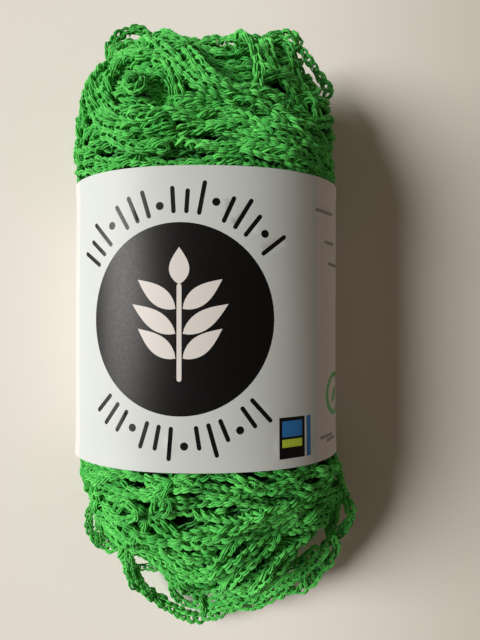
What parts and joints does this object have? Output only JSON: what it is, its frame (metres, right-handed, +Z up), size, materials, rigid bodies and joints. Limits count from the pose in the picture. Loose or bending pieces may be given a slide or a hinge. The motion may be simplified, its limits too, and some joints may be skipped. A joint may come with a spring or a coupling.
{
  "type": "mesh produce bag",
  "caption": "Crocheted cotton mesh produce bag, folded and rolled into a bundle and held by a paper sleeve that slides off.",
  "frame": {"origin": "middle of the sleeve's flat underside, where the rolled bag rests on a table", "axes": "+Z up; +Y along the roll, towards its blunt upper end; +X to the right when the printed front is seen from above with the blunt end away from the viewer"},
  "size_m": [0.0902, 0.1934, 0.05],
  "materials": {
    "yarn": "matte crocheted cotton yarn, bright green",
    "dense_yarn": "matte, densely crocheted cotton yarn, bright green",
    "paper": "uncoated printed paper, pale grey green front and white sides",
    "glue": "dried paper glue"
  },
  "bodies": {
    "roll": {"net_body": "yarn", "mouth_rim": "dense_yarn", "handle_strap": "dense_yarn", "strap_stitches_top": "yarn", "strap_stitches_bottom": "yarn", "base_ring": "dense_yarn", "top_edge_cord": "yarn", "bottom_edge_cord": "yarn", "left_side_cord": "yarn", "right_side_cord": "yarn"},
    "sleeve": {"paper_sleeve": "paper", "sleeve_glue": "glue"},
    "top_left_loop": {"top_left_loop": "yarn"},
    "top_right_loop": {"top_right_loop": "yarn"},
    "left_side_loop": {"left_side_loop": "yarn"},
    "right_side_loop": {"right_side_loop": "yarn"},
    "bottom_web": {"bottom_web": "yarn"}
  },
  "joints": [
    {"name": "sleeve_slide", "type": "slide", "parent": "roll", "child": "sleeve", "axis": [0, 1, 0], "range_m": [0, 0.135]},
    {"name": "top_left_flop", "type": "hinge", "parent": "roll", "child": "top_left_loop", "pos_m": [-0.018, 0.083, 0.02], "axis": [1, 0, 0], "range_deg": [-30, 30]},
    {"name": "top_right_flop", "type": "hinge", "parent": "roll", "child": "top_right_loop", "pos_m": [0.0205, 0.083, 0.02], "axis": [1, 0, 0], "range_deg": [-30, 30]},
    {"name": "left_side_flop", "type": "hinge", "parent": "roll", "child": "left_side_loop", "pos_m": [-0.0355, -0.065, 0.019], "axis": [0, 1, 0], "range_deg": [-30, 30]},
    {"name": "right_side_flop", "type": "hinge", "parent": "roll", "child": "right_side_loop", "pos_m": [0.0375, -0.06, 0.019], "axis": [0, 1, 0], "range_deg": [-30, 30]},
    {"name": "bottom_web_flop", "type": "hinge", "parent": "roll", "child": "bottom_web", "pos_m": [0, -0.081, 0.011], "axis": [1, 0, 0], "range_deg": [-35, 5]}
  ]
}
